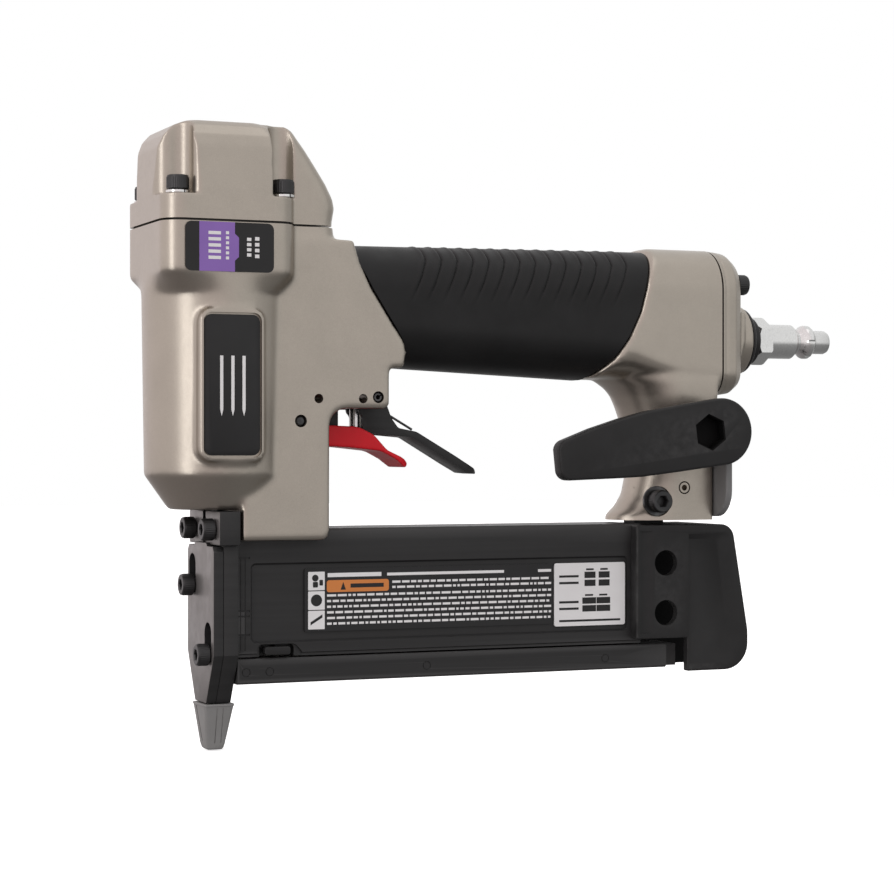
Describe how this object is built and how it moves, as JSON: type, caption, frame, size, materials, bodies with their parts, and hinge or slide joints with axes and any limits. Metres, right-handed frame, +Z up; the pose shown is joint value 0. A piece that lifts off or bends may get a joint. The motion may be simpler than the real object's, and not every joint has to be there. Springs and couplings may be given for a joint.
{
  "type": "pneumatic pin nailer",
  "caption": "Handheld air-driven pin nailer with an inline magazine, a rubber grip over its air reservoir, a trigger with a safety lever, a belt hook and a male air plug.",
  "frame": {"origin": "on the drive axis where the nose tip touches the work", "axes": "+X runs back along the handle to the air plug, +Z up the drive axis to the head cap, -Y the side with the belt hook"},
  "size_m": [0.2495, 0.055, 0.197],
  "materials": {
    "champagne_cast": "satin champagne powder coat on cast light alloy",
    "black_metal": "black anodised, satin",
    "black_plastic": "fine-textured black moulding",
    "grip_rubber": "matte black rubber with thin ribs",
    "red_paint": "smooth red paint",
    "bright_steel": "bright plated",
    "dark_steel": "black oxide",
    "tip_plastic": "soft grey plastic",
    "seal_rubber": "black nitrile",
    "gasket_sheet": "thin dark gasket sheet",
    "valve_plastic": "grey acetal",
    "label_black": "printed film",
    "label_purple": "printed film",
    "label_white": "printed film",
    "filter_felt": "felt",
    "collated_wire": "galvanised pins in a strip"
  },
  "bodies": {
    "body": {"main_housing": "champagne_cast", "head_cap": "champagne_cast", "head_cap_gasket": "gasket_sheet", "head_cap_screw_1": "dark_steel", "head_cap_screw_2": "dark_steel", "head_cap_screw_3": "dark_steel", "head_cap_screw_4": "dark_steel", "lock_washer_1": "bright_steel", "lock_washer_2": "bright_steel", "lock_washer_3": "bright_steel", "lock_washer_4": "bright_steel", "cylinder_sleeve": "bright_steel", "piston_bumper": "seal_rubber", "head_valve_spring": "bright_steel", "trigger_valve_body": "valve_plastic", "valve_spring": "bright_steel", "trigger_pivot_pin": "dark_steel", "lever_pivot_pin_near": "dark_steel", "lever_pivot_pin_far": "dark_steel", "trigger_spring_holder": "black_plastic", "driver_guide": "black_metal", "nose_plate": "black_metal", "nose_screw_1": "dark_steel", "nose_screw_2": "dark_steel", "nose_screw_3": "dark_steel", "nose_screw_4": "dark_steel", "magazine_housing": "black_metal", "magazine_end_housing": "black_plastic", "magazine_bolt": "dark_steel", "magazine_bolt_washer": "bright_steel", "latch_spring": "bright_steel", "rubber_grip": "grip_rubber", "end_cap": "champagne_cast", "end_cap_gasket": "gasket_sheet", "end_cap_screw_1": "dark_steel", "end_cap_screw_2": "dark_steel", "end_cap_screw_3": "dark_steel", "exhaust_filter": "filter_felt", "inlet_bushing": "black_metal", "air_plug": "bright_steel", "belt_hook": "black_plastic", "belt_hook_screw": "dark_steel", "badge_plate": "label_black", "gauge_label": "label_purple", "magazine_label": "label_black", "rating_label": "label_white"},
    "driver": {"piston": "valve_plastic", "piston_seal_ring": "seal_rubber", "driver_blade": "bright_steel"},
    "head_valve": {"head_valve": "valve_plastic"},
    "trigger": {"trigger": "red_paint"},
    "safety_lever": {"safety_lever": "black_metal", "lever_spring": "dark_steel"},
    "valve_stem": {"valve_stem": "bright_steel"},
    "magazine_track": {"magazine_track": "black_metal", "nail_strip": "collated_wire"},
    "nail_pusher": {"nail_pusher": "black_plastic", "pusher_spring": "bright_steel"},
    "track_latch": {"track_latch": "black_plastic"},
    "nose_tip": {"no_mar_tip": "tip_plastic"}
  },
  "joints": [
    {"name": "driver_stroke", "type": "slide", "parent": "body", "child": "driver", "axis": [0, 0, -1], "range_m": [0, 0.06]},
    {"name": "head_valve_lift", "type": "slide", "parent": "body", "child": "head_valve", "axis": [0, 0, 1], "range_m": [0, 0.003], "stiffness_N_per_m": 600, "springref_m": -0.004, "deforming": ["head_valve_spring"]},
    {"name": "trigger_pull", "type": "hinge", "parent": "body", "child": "trigger", "pos_m": [0.0232, 0, 0.1039], "axis": [0, -1, 0], "range_deg": [0, 6], "stiffness_Nm_per_rad": 0.5, "springref_deg": -11.46},
    {"name": "valve_stem_lift", "type": "slide", "parent": "body", "child": "valve_stem", "axis": [0, 0, 1], "range_m": [0, 0.0027], "stiffness_N_per_m": 1.5, "springref_m": -0.003, "deforming": ["valve_spring"]},
    {"name": "lever_squeeze", "type": "hinge", "parent": "body", "child": "safety_lever", "pos_m": [0.0494, 0, 0.1116], "axis": [0, -1, 0], "range_deg": [0, 14], "stiffness_Nm_per_rad": 0.3, "springref_deg": -17.19},
    {"name": "track_slide", "type": "slide", "parent": "body", "child": "magazine_track", "axis": [1, 0, 0], "range_m": [0, 0.085]},
    {"name": "pusher_slide", "type": "slide", "parent": "magazine_track", "child": "nail_pusher", "axis": [1, 0, 0], "range_m": [0, 0.055], "stiffness_N_per_m": 20, "springref_m": -0.15},
    {"name": "latch_press", "type": "slide", "parent": "body", "child": "track_latch", "axis": [0, 1, 0], "range_m": [0, 0.0016], "stiffness_N_per_m": 400, "springref_m": -0.002},
    {"name": "tip_pull_off", "type": "slide", "parent": "body", "child": "nose_tip", "axis": [0, 0, -1], "range_m": [0, 0.018]}
  ],
  "couplings": [
    {"joint": "valve_stem_lift", "follows": "trigger_pull", "m_per_rad": 0.0248}
  ]
}
